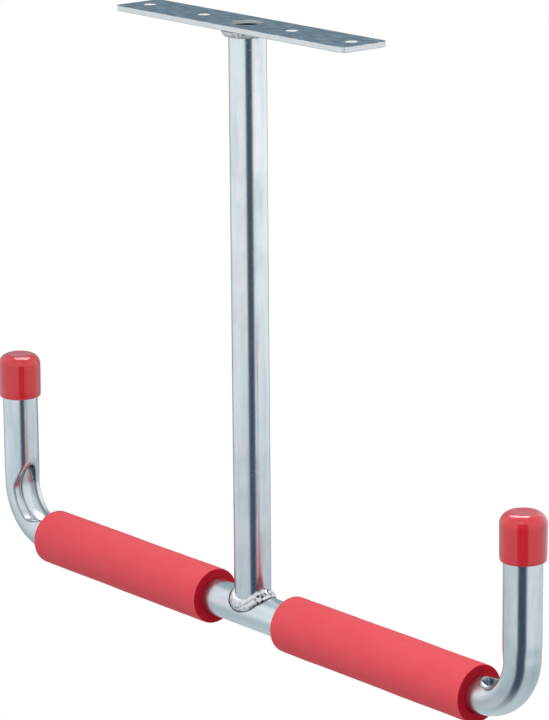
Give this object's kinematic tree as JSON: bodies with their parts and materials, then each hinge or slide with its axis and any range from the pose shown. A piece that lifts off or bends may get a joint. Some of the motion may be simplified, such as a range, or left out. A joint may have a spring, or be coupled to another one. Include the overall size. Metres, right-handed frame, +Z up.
{
  "type": "ceiling hook",
  "caption": "Welded tube ceiling hook: a flat screw plate, a drop post, and a cross bar with foam sleeves and upturned, capped arms.",
  "frame": {"origin": "centre of the mounting plate's ceiling face, between its screw holes", "axes": "+Z up, out of the ceiling face; +X along the plate and the bar, towards the right arm; +Y across the plate"},
  "size_m": [0.4412, 0.031, 0.3355],
  "materials": {
    "plate_steel": "satin zinc plate on flat bar",
    "tube_steel": "bright zinc plate with fine drawing lines along the tube",
    "weld_metal": "zinc plate over a rippled weld bead",
    "foam": "matt closed-cell foam with a fine grain",
    "vinyl": "glossy dipped vinyl"
  },
  "bodies": {
    "steel_frame": {"mounting_plate": "plate_steel", "post_tube": "tube_steel", "arm_tube": "tube_steel", "plate_weld": "weld_metal", "foot_weld": "weld_metal"},
    "left_sleeve": {"foam_sleeve_left": "foam"},
    "right_sleeve": {"foam_sleeve_right": "foam"},
    "left_cap": {"end_cap_left": "vinyl"},
    "right_cap": {"end_cap_right": "vinyl"}
  },
  "joints": [
    {"name": "left_sleeve_turn", "type": "hinge", "parent": "steel_frame", "child": "left_sleeve", "pos_m": [-0.105, 0, -0.32], "axis": [1, 0, 0], "continuous": true},
    {"name": "right_sleeve_turn", "type": "hinge", "parent": "steel_frame", "child": "right_sleeve", "pos_m": [0.105, 0, -0.32], "axis": [1, 0, 0], "continuous": true},
    {"name": "left_cap_pull", "type": "slide", "parent": "steel_frame", "child": "left_cap", "axis": [0, 0, 1], "range_m": [0, 0.03]},
    {"name": "right_cap_pull", "type": "slide", "parent": "steel_frame", "child": "right_cap", "axis": [0, 0, 1], "range_m": [0, 0.03]}
  ]
}
